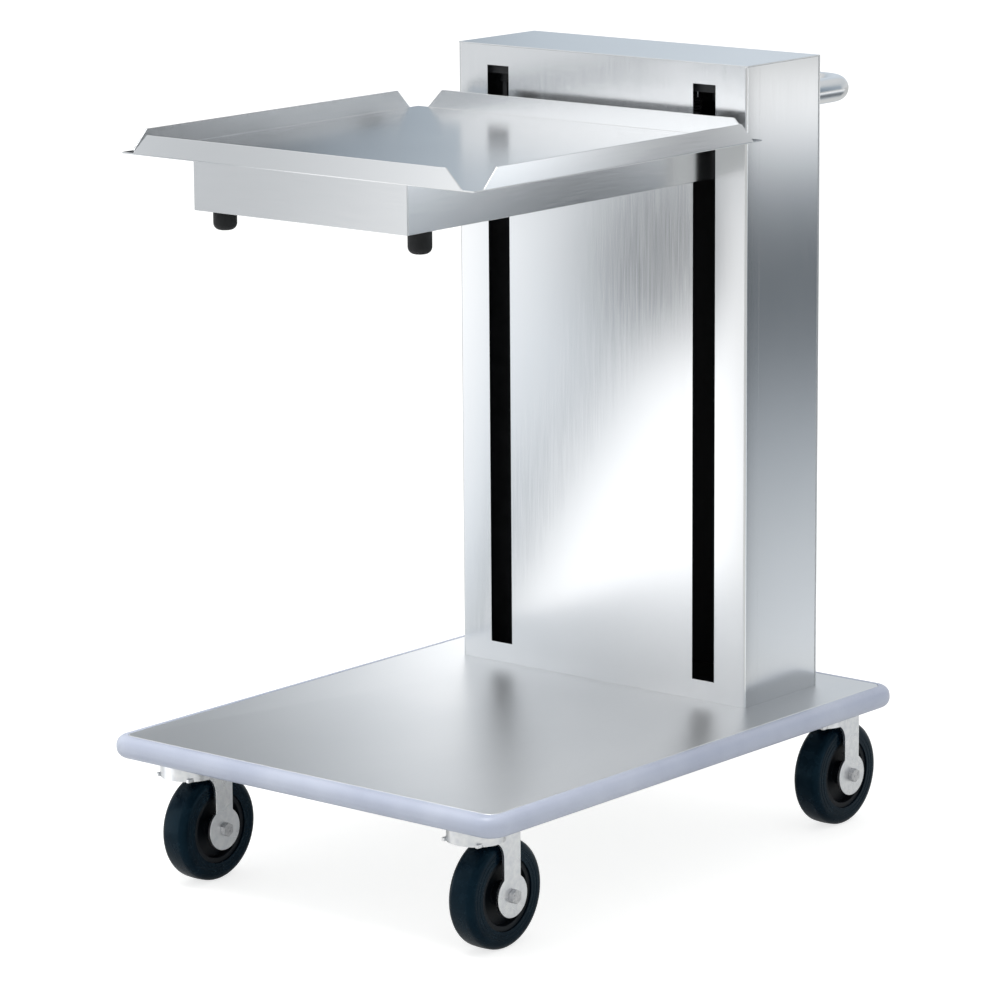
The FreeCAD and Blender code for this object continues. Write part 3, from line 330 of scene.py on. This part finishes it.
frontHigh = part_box("tower_front")[1]
wallDepth, capGap = 0.003, 1e-4
facing = 0.5  # the least of a normal along an axis that counts as facing that way
# painted shade: the inner faces of the front, sides, rear cover and top cap turn near-black, so the slots read
# dark
paintInsideShade(dressed["tower_front"], lambda centre, normal: normal.y > facing or abs(normal.x) > facing and
           normal.x * centre.x < 0 and abs(centre.x) > frontHigh.x - wallDepth)
paintInsideShade(dressed["rear_cover"], lambda centre, normal: normal.y < -facing and abs(centre.x) < coverX)
for side in ("left", "right"):
    paintInsideShade(dressed[f"tower_{side}_side"], lambda centre, normal: normal.x * centre.x < 0 or
               normal.y < -facing)
paintInsideShade(dressed["tower_top_cap"], lambda centre, normal: normal.z < facing and centre.z < frontHigh.z - capGap)
print("tower inside darkened")


# pieces grown by node trees

def startTree(name, sizes):  # sizes: input name to socket kind
    tree = bpy.data.node_groups.new(name, "GeometryNodeTree")
    tree.interface.new_socket("Geometry", in_out="INPUT", socket_type="NodeSocketGeometry")
    for label, kind in sizes.items():
        tree.interface.new_socket(label, in_out="INPUT", socket_type=f"NodeSocket{kind}")
    tree.interface.new_socket("Material", in_out="INPUT", socket_type="NodeSocketMaterial")
    tree.interface.new_socket("Geometry", in_out="OUTPUT", socket_type="NodeSocketGeometry")
    return tree, tree.nodes.new("NodeGroupInput").outputs


def endTree(tree, inputs, geometry):
    real = addNode(tree, "GeometryNodeRealizeInstances", {"Geometry": geometry}).outputs[0]
    coat = {"Geometry": real, "Material": inputs["Material"]}
    painted = addNode(tree, "GeometryNodeSetMaterial", coat).outputs[0]
    tree.links.new(painted, tree.nodes.new("NodeGroupOutput").inputs[0])
    return tree


def grown(name, mesh, tree, values):
    piece = newPiece(name, mesh)
    growth = piece.modifiers.new("growth", "NODES")
    growth.node_group = tree
    for socket in tree.interface.items_tree:
        if socket.in_out == "INPUT" and socket.name in values:
            growth[socket.identifier] = values[socket.name]
    settled(piece)
    smoothFaces(piece.data)
    return piece


def arcPoints(centre, radius, start, end, steps):
    turns = [math.radians(start + (end - start) * step / steps) for step in range(steps + 1)]
    return [(centre[0] + radius * math.cos(turn), centre[1] + radius * math.sin(turn)) for turn in turns]


tyreShape = {"rim": 0.042, "shoulder": 0.009, "crown": 0.0004, "ribs": (0.0462, 0.0508), "ribWidth": 0.0011,
             "ribEdges": (0, 0.3, 0.7, 1), "ribHeight": 0.0004, "around": 128, "shoulderSteps": 10}


def tyreSection(radius, half):  # outline of the tyre, across is distance from the axle
    shoulder, crown = tyreShape["shoulder"], tyreShape["crown"]
    wall, flat = radius - crown - shoulder, half - shoulder
    side = [(tyreShape["rim"], half)]
    for rib in tyreShape["ribs"]:
        heights = (0, tyreShape["ribHeight"], tyreShape["ribHeight"], 0)
        side += [(rib + tyreShape["ribWidth"] * edge, half + height)
                 for edge, height in zip(tyreShape["ribEdges"], heights)]
    side += arcPoints((wall, flat), shoulder, 90, 0, tyreShape["shoulderSteps"])
    side.append((radius - crown / 4, flat / 2))
    return [(across, -along) for across, along in side] + [(radius, 0)] + side[::-1]


def tyreTree():
    tree, inputs = startTree("sweptTyre", {"Around": "Int", "Axle Place": "Vector", "Path Radius": "Float"})
    outline = addNode(tree, "GeometryNodeMeshToCurve", {"Mesh": inputs["Geometry"]}).outputs[0]
    path = addNode(tree, "GeometryNodeCurvePrimitiveCircle",
                   {"Resolution": inputs["Around"], "Radius": inputs["Path Radius"]}).outputs[0]
    ring = addNode(tree, "GeometryNodeCurveToMesh", {"Curve": path, "Profile Curve": outline}).outputs[0]
    placed = addNode(tree, "GeometryNodeTransform", {"Geometry": ring, "Translation": inputs["Axle Place"],
                                                     "Rotation": (0, math.pi / 2, 0)}).outputs[0]
    return endTree(tree, inputs, placed)


def addTyres():
    tree = tyreTree()
    for corner in corners:
        node = f"{corner}_tyre"
        low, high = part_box(node)
        radius, half = (high.z - low.z) / 2, (high.x - low.x) / 2
        section = tyreSection(radius, half)
        mesh = bpy.data.meshes.new(node)
        loop = [(point, (point + 1) % len(section)) for point in range(len(section))]
        mesh.from_pydata([(across - tyreShape["rim"], along, 0) for across, along in section], loop, [])
        values = {"Around": tyreShape["around"], "Axle Place": (low + high) / 2, "Path Radius": tyreShape["rim"],
                  "Material": finishOf(node)}
        standsFor(grown(f"{node}_moulded", mesh, tree, values), node)


coilShape = {"turns": 22, "coil": 0.040, "wire": 0.0022, "tail": 0.009, "count": 4, "stepsPerTurn": 28,
             "wireSides": 10}


def coilTree():
    tree, inputs = startTree("liftCoils", {
        "Turns": "Float", "Coil Radius": "Float", "Wire Radius": "Float", "Coil Height": "Float", "Tail": "Float",
        "Count": "Int", "Spacing": "Vector", "First Place": "Vector", "Steps Per Turn": "Int",
        "Wire Sides": "Int"})
    helix = addNode(tree, "GeometryNodeCurveSpiral", {
        "Resolution": inputs["Steps Per Turn"], "Rotations": inputs["Turns"],
        "Start Radius": inputs["Coil Radius"], "End Radius": inputs["Coil Radius"],
        "Height": inputs["Coil Height"]}).outputs[0]
    tailDown = combine(tree, "MULTIPLY", inputs["Tail"], -1.0)
    tailUp = combine(tree, "ADD", inputs["Tail"], inputs["Coil Height"])
    wires = [helix]
    for begin, end in ((0.0, tailDown), (inputs["Coil Height"], tailUp)):
        foot = addNode(tree, "ShaderNodeCombineXYZ", {"X": inputs["Coil Radius"], "Z": begin}).outputs[0]
        tip = addNode(tree, "ShaderNodeCombineXYZ", {"X": inputs["Coil Radius"], "Z": end}).outputs[0]
        wires.append(addNode(tree, "GeometryNodeCurvePrimitiveLine", {"Start": foot, "End": tip}).outputs[0])
    joined = addNode(tree, "GeometryNodeJoinGeometry")
    for wire in reversed(wires):
        tree.links.new(wire, joined.inputs[0])
    section = addNode(tree, "GeometryNodeCurvePrimitiveCircle",
                      {"Resolution": inputs["Wire Sides"], "Radius": inputs["Wire Radius"]}).outputs[0]
    coil = addNode(tree, "GeometryNodeCurveToMesh",
                   {"Curve": joined.outputs[0], "Profile Curve": section, "Fill Caps": True}).outputs[0]
    row = addNode(tree, "GeometryNodeMeshLine", {"Count": inputs["Count"], "Start Location": inputs["First Place"],
                                                 "Offset": inputs["Spacing"]}).outputs[0]
    coils = addNode(tree, "GeometryNodeInstanceOnPoints", {"Points": row, "Instance": coil}).outputs[0]
    return endTree(tree, inputs, coils)


def addLiftSprings():
    low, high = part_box("lift_springs")
    middle, wide = (low + high) / 2, coilShape["coil"] + coilShape["wire"]
    firstX = low.x + wide / 2
    spacing = (high.x - wide / 2 - firstX) / (coilShape["count"] - 1)
    values = {"Turns": coilShape["turns"], "Coil Radius": coilShape["coil"] / 2,
              "Wire Radius": coilShape["wire"] / 2,
              "Coil Height": high.z - low.z - 2 * coilShape["tail"], "Tail": coilShape["tail"],
              "Count": coilShape["count"], "Spacing": (spacing, 0, 0),
              "First Place": (firstX, middle.y, low.z + coilShape["tail"]), "Material": finishOf("lift_springs"),
              "Steps Per Turn": coilShape["stepsPerTurn"], "Wire Sides": coilShape["wireSides"]}
    springs = grown("lift_springs_wound", bpy.data.meshes.new("liftSprings"), coilTree(), values)
    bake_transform(springs)
    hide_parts("lift_springs")


screwShape = {"head": 0.004, "crownTop": 0.0026, "rim": 0.0011, "slotWidth": 0.0009, "slotLength": 0.0042,
              "slotDepth": 0.0012, "sides": 20}


def screwTree():
    tree, inputs = startTree("panScrews", {
        "Head Radius": "Float", "Crown Radius": "Float", "Rim Height": "Float", "Head Height": "Float",
        "Slot Size": "Vector", "Shank Radius": "Float", "Shank Length": "Float", "Sides": "Int"})

    def turnedPart(low, high, bottomRadius, topRadius):
        cone = addNode(tree, "GeometryNodeMeshCone", {
            "Vertices": inputs["Sides"], "Radius Bottom": bottomRadius, "Radius Top": topRadius,
            "Depth": combine(tree, "SUBTRACT", high, low)}).outputs[0]
        lift = addNode(tree, "ShaderNodeCombineXYZ", {"Z": low}).outputs[0]
        return addNode(tree, "GeometryNodeTransform", {"Geometry": cone, "Translation": lift}).outputs[0]
    rim = turnedPart(0.0, inputs["Rim Height"], inputs["Head Radius"], inputs["Head Radius"])
    crown = turnedPart(inputs["Rim Height"], inputs["Head Height"], inputs["Head Radius"], inputs["Crown Radius"])
    shank = turnedPart(combine(tree, "MULTIPLY", inputs["Shank Length"], -1.0), 0.0,
                       inputs["Shank Radius"], inputs["Shank Radius"])
    cutter = addNode(tree, "GeometryNodeMeshCube", {"Size": inputs["Slot Size"]}).outputs[0]
    top = addNode(tree, "ShaderNodeCombineXYZ", {"Z": inputs["Head Height"]}).outputs[0]
    cross = addNode(tree, "GeometryNodeJoinGeometry")
    for turn in (0, math.pi / 2):
        blade = addNode(tree, "GeometryNodeTransform",
                        {"Geometry": cutter, "Translation": top, "Rotation": (0, 0, turn)}).outputs[0]
        tree.links.new(blade, cross.inputs[0])
    recessed = addNode(tree, "GeometryNodeMeshBoolean", {"Mesh 1": crown}, operation="DIFFERENCE", solver="EXACT")
    recessed.inputs["Self Intersection"].default_value = True
    tree.links.new(cross.outputs[0], recessed.inputs["Mesh 2"])
    screw = addNode(tree, "GeometryNodeJoinGeometry")
    for part in (rim, recessed.outputs[0], shank):
        tree.links.new(part, screw.inputs[0])
    facing = addNode(tree, "GeometryNodeTransform",
                     {"Geometry": screw.outputs[0], "Rotation": (-math.pi / 2, 0, 0)}).outputs[0]
    screws = addNode(tree, "GeometryNodeInstanceOnPoints",
                     {"Points": inputs["Geometry"], "Instance": facing}).outputs[0]
    return endTree(tree, inputs, screws)


def looseBoxes(node):  # the lowest and highest corner of each loose solid in a node
    mesh, work = mergedSurface(node)
    bpy.data.meshes.remove(mesh)
    waiting, boxes = set(work.verts), []
    while waiting:
        reached, island = [waiting.pop()], []
        while reached:
            vertex = reached.pop()
            island.append(vertex.co.copy())
            near = {edge.other_vert(vertex) for edge in vertex.link_edges} & waiting
            waiting -= near
            reached += near
        boxes.append([Vector([pick(point[axis] for point in island) for axis in range(3)])
                      for pick in (min, max)])
    work.free()
    return boxes


def addCoverScrews():
    node = "rear_cover_screws"
    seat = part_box("rear_cover")[1].y
    boxes = looseBoxes(node)
    low, high = boxes[0]
    places = bpy.data.meshes.new("screwPlaces")
    places.from_pydata([((a.x + b.x) / 2, seat, (a.z + b.z) / 2) for a, b in boxes], [], [])
    values = {"Head Radius": screwShape["head"], "Crown Radius": screwShape["crownTop"],
              "Rim Height": screwShape["rim"], "Head Height": high.y - seat,
              "Shank Radius": screwShape["head"] / 2, "Shank Length": seat - low.y,
              "Slot Size": (screwShape["slotLength"], screwShape["slotWidth"], 2 * screwShape["slotDepth"]),
              "Sides": screwShape["sides"], "Material": finishOf(node)}
    standsFor(grown(f"{node}_driven", places, screwTree(), values), node)


addTyres()
addLiftSprings()
addCoverScrews()
print("tyres, springs and screws grown")


# camera and light

# aim is counted from the floor under the deck's middle
viewOfPhoto = {"azimuth": 39.7, "elevation": 12.0, "roll": -0.4, "distance": 5.488, "lens": 169.8,
               "sensor": 36, "clipEnd": 200, "aim": (-0.0077, -0.0064, 0.4293)}
deckLow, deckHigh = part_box("bumper")
deckMiddle = Vector((0, (deckLow.y + deckHigh.y) / 2, 0))
around, up = math.radians(viewOfPhoto["azimuth"]), math.radians(viewOfPhoto["elevation"])
toCamera = Vector((math.sin(around) * math.cos(up), -math.cos(around) * math.cos(up), math.sin(up)))


def addCamera():
    lens = bpy.data.cameras.new("photoView")
    lens.lens = viewOfPhoto["lens"]
    lens.sensor_width = viewOfPhoto["sensor"]
    lens.clip_end = viewOfPhoto["clipEnd"]
    camera = bpy.data.objects.new("photoView", lens)
    camera.location = deckMiddle + Vector(viewOfPhoto["aim"]) + toCamera * viewOfPhoto["distance"]
    roll = Matrix.Rotation(math.radians(viewOfPhoto["roll"]), 4, "Z").to_quaternion()
    camera.rotation_euler = (toCamera.to_track_quat("Z", "Y") @ roll).to_euler()
    bpy.context.scene.collection.objects.link(camera)
    bpy.context.scene.camera = camera


floorLook = {"half": 40, "tone": (0.55, 0.55, 0.535), "roughness": 0.9, "gloss": 0.1,
             "glow": 0.74, "bounce": 0.18}  # glow is what the camera sees, bounce is what lights the cart


def addFloor():
    half = floorLook["half"]
    mesh = bpy.data.meshes.new("floor")
    mesh.from_pydata([(-half, -half, 0), (half, -half, 0), (half, half, 0), (-half, half, 0)], [], [(0, 1, 2, 3)])
    material, tree, shader = startMaterial("paleFloor")[:3]
    shader.inputs["Base Color"].default_value = (*floorLook["tone"], 1)
    shader.inputs["Roughness"].default_value = floorLook["roughness"]
    shader.inputs["Specular IOR Level"].default_value = floorLook["gloss"]
    shader.inputs["Emission Color"].default_value = (1, 1, 1, 1)
    seen = addNode(tree, "ShaderNodeLightPath").outputs["Is Camera Ray"]
    tree.links.new(spread(tree, seen, floorLook["bounce"], floorLook["glow"], 0, 1),
                   shader.inputs["Emission Strength"])
    mesh.materials.append(material)
    newPiece("floor", mesh)


skyLook = {"light": 0.8, "backdrop": 1.1,
           "colours": [(0.0, (0.95, 0.96, 0.97)), (0.3, (0.82, 0.86, 0.89)), (0.8, (1.0, 1.0, 1.0))]}


def addSky():
    world = bpy.data.worlds.new("studio")
    bpy.context.scene.world = world
    world.use_nodes = True
    tree = world.node_tree
    direction = addNode(tree, "ShaderNodeTexCoord").outputs["Generated"]
    height = addNode(tree, "ShaderNodeSeparateXYZ", {"Vector": direction}).outputs["Z"]
    tree.links.new(tint(tree, height, skyLook["colours"]), tree.nodes["Background"].inputs["Color"])
    seen = addNode(tree, "ShaderNodeLightPath").outputs["Is Camera Ray"]
    tree.links.new(spread(tree, seen, skyLook["light"], skyLook["backdrop"], 0, 1),
                   tree.nodes["Background"].inputs["Strength"])


overhead = {"size": (1.5, 1.5), "power": 52, "place": Vector((-0.2, -0.9, 3.0)), "aim": Vector((0, 0, 0.3))}


def addSoftbox():
    lamp = bpy.data.lights.new("overhead", "AREA")
    lamp.shape = "RECTANGLE"
    lamp.size, lamp.size_y = overhead["size"]
    lamp.energy = overhead["power"]
    box = bpy.data.objects.new("overhead", lamp)
    box.location = overhead["place"]
    box.rotation_euler = (overhead["place"] - overhead["aim"]).to_track_quat("Z", "Y").to_euler()
    bpy.context.scene.collection.objects.link(box)


# shaded cards that the steel mirrors: each stands square to the way that one set of faces sends the view
cards = {"front": {"mirror": "y", "reach": 0.8, "wide": (-0.55, 0.75), "high": (0.0, 1.15)},
         "side": {"mirror": "x", "reach": 1.1, "wide": (-0.75, 0.45), "high": (0.0, 1.06)},
         "top": {"mirror": "z", "reach": 1.1, "wide": (-0.65, 0.75), "high": (-0.25, 1.2)},
         "fore": {"mirror": "yz", "reach": 1.2, "wide": (-0.5, 0.5), "high": (0.62, 1.2)},
         "rear": {"mirror": "xz", "reach": 3.0, "wide": (-0.45, 0.5), "high": (0.3, 2.2)}}
cardGlow = 1.35


def greyStops(stops, cool):  # the darker the tone, the cooler
    marks = []
    for place, tone in stops:
        shift = cool * max(0, 1 - tone)
        marks.append((place, (tone * (1 - shift), tone, tone * (1 + shift))))
    return marks


def greyRun(tree, along, look):
    return tint(tree, spread(tree, along, 0, 1, *look["span"]), greyStops(look["stops"], look["cool"]))


def addCard(name, paint):
    card = cards[name]
    heading = -toCamera
    for axis in card["mirror"]:
        heading["xyz".index(axis)] *= -1
    across = Vector((0, 0, 1)).cross(heading).normalized()
    upward = heading.cross(across)
    (left, right), (low, high) = card["wide"], card["high"]
    mesh = bpy.data.meshes.new(f"{name}Card")
    mesh.from_pydata([(left, low, 0), (right, low, 0), (right, high, 0), (left, high, 0)], [], [(0, 1, 2, 3)])
    material = bpy.data.materials.new(f"{name}Card")
    material.use_nodes = True
    tree = material.node_tree
    tree.nodes.clear()
    where = addNode(tree, "ShaderNodeTexCoord").outputs["Object"]
    place = addNode(tree, "ShaderNodeSeparateXYZ", {"Vector": where}).outputs
    colour = paint(tree, place["X"], place["Y"])
    glow = addNode(tree, "ShaderNodeEmission", {"Color": colour, "Strength": cardGlow})
    tree.links.new(glow.outputs[0], addNode(tree, "ShaderNodeOutputMaterial").inputs["Surface"])
    mesh.materials.append(material)
    board = newPiece(f"{name}Card", mesh)
    board.matrix_world = Matrix((across, upward, heading)).transposed().to_4x4()
    board.location = heading * card["reach"]
    for rays in ("camera", "diffuse", "shadow", "transmission", "volume_scatter"):
        setattr(board, f"visible_{rays}", False)


def mixColours(tree, factor, first, second, blend="MIX"):
    mix = addNode(tree, "ShaderNodeMix", {"Factor": factor}, data_type="RGBA", blend_type=blend)
    colours = [socket for socket in mix.inputs if socket.type == "RGBA"]
    for socket, colour in zip(colours, (first, second)):
        tree.links.new(colour, socket)
    return [socket for socket in mix.outputs if socket.type == "RGBA"][0]


frontPaint = {"slant": (0.883, 0.4695), "bandRise": (0.78, 0.85), "spotPlace": (0.02, 0.71, 0),
              "panel": {"span": (-0.64, -0.06), "cool": 0.2,
                        "stops": [(0.0, 1.05), (0.42, 0.72), (0.59, 0.12), (0.65, 1.25)]},
              "edge": {"span": (0.1, 0.3), "cool": 0.0, "stops": [(0.0, 1.0), (1.0, 0.5)]},
              "band": {"span": (-0.30, 0.50), "cool": 0.05,
                       "stops": [(0.05, 0.62), (0.42, 0.55), (0.55, 0.46), (0.75, 0.6), (0.95, 0.9)]},
              "spot": {"span": (0.0, 0.17), "cool": 0.06, "stops": [(0.0, 0.0), (0.4, 0.12), (1.0, 1.0)]}}


def paintFront(tree, u, v):  # white beside a grey diagonal, a lighter band at the top, and one dark spot
    perU, perV = frontPaint["slant"]
    slant = combine(tree, "SUBTRACT", combine(tree, "MULTIPLY", u, perU), combine(tree, "MULTIPLY", v, perV))
    edge = greyRun(tree, u, frontPaint["edge"])
    panel = mixColours(tree, 1.0, greyRun(tree, slant, frontPaint["panel"]), edge, "MULTIPLY")
    banded = spread(tree, v, 0, 1, *frontPaint["bandRise"])
    whole = mixColours(tree, banded, panel, greyRun(tree, u, frontPaint["band"]))
    here = addNode(tree, "ShaderNodeCombineXYZ", {"X": u, "Y": v}).outputs[0]
    away = addNode(tree, "ShaderNodeVectorMath", {0: here, 1: frontPaint["spotPlace"]},
                   operation="DISTANCE").outputs["Value"]
    return mixColours(tree, 1.0, whole, greyRun(tree, away, frontPaint["spot"]), "MULTIPLY")


sidePaint = {"gain": 2.3,
             "fall": {"span": (0.1, 1.1), "cool": 0.12,
                      "stops": [(0.05, 0.70), (0.2, 0.62), (0.45, 0.36), (0.6, 0.16), (0.7, 0.12), (0.78, 0.22),
                                (0.85, 0.6), (0.9, 1.0)]},
             "run": {"span": (-0.5, 0.1), "cool": 0.0,
                     "stops": [(0.09, 1.0), (0.25, 0.62), (0.45, 0.2), (0.62, 0.06), (0.73, 0.42)]}}


def paintSide(tree, u, v):
    fall, run = greyRun(tree, v, sidePaint["fall"]), greyRun(tree, u, sidePaint["run"])
    lit = mixColours(tree, 1.0, fall, run, "MULTIPLY")
    inputs = {0: lit, "Scale": sidePaint["gain"]}
    return addNode(tree, "ShaderNodeVectorMath", inputs, operation="SCALE").outputs["Vector"]


topPaint = {"trayRise": (0.35, 0.6),  # both runs go from right to left
            "deck": {"span": (0.5, -0.5), "cool": 0.1,
                     "stops": [(0.04, 0.30), (0.25, 0.7), (0.43, 1.2), (0.62, 1.1), (0.85, 0.5)]},
            "tray": {"span": (0.5, -0.4), "cool": 0.2,
                     "stops": [(0.05, 0.02), (0.16, 0.06), (0.3, 0.25), (0.6, 0.46), (0.9, 0.55)]}}


def paintTop(tree, u, v):  # the deck mirrors its lower part, the platform its upper part
    raised = spread(tree, v, 0, 1, *topPaint["trayRise"])
    return mixColours(tree, raised, greyRun(tree, u, topPaint["deck"]), greyRun(tree, u, topPaint["tray"]))


forePaint = {"span": (-0.3, 0.2), "cool": 0.05, "stops": [(0.1, 0.75), (0.8, 1.2)]}
rearPaint = {"span": (-0.3, 0.3), "cool": 0.3, "stops": [(0.55, 0.0), (0.9, 0.3)]}


def paintFore(tree, u, v):  # what the tower's top band mirrors by way of the platform
    return greyRun(tree, u, forePaint)


def paintRear(tree, u, v):  # what the inside of the left lip mirrors by way of the platform
    return greyRun(tree, u, rearPaint)


addCamera()
addFloor()
addSky()
addSoftbox()
for cardName, paint in (("front", paintFront), ("side", paintSide), ("top", paintTop), ("fore", paintFore),
                        ("rear", paintRear)):
    addCard(cardName, paint)
bpy.context.scene.view_settings.view_transform = "Standard"
print("camera and light set")
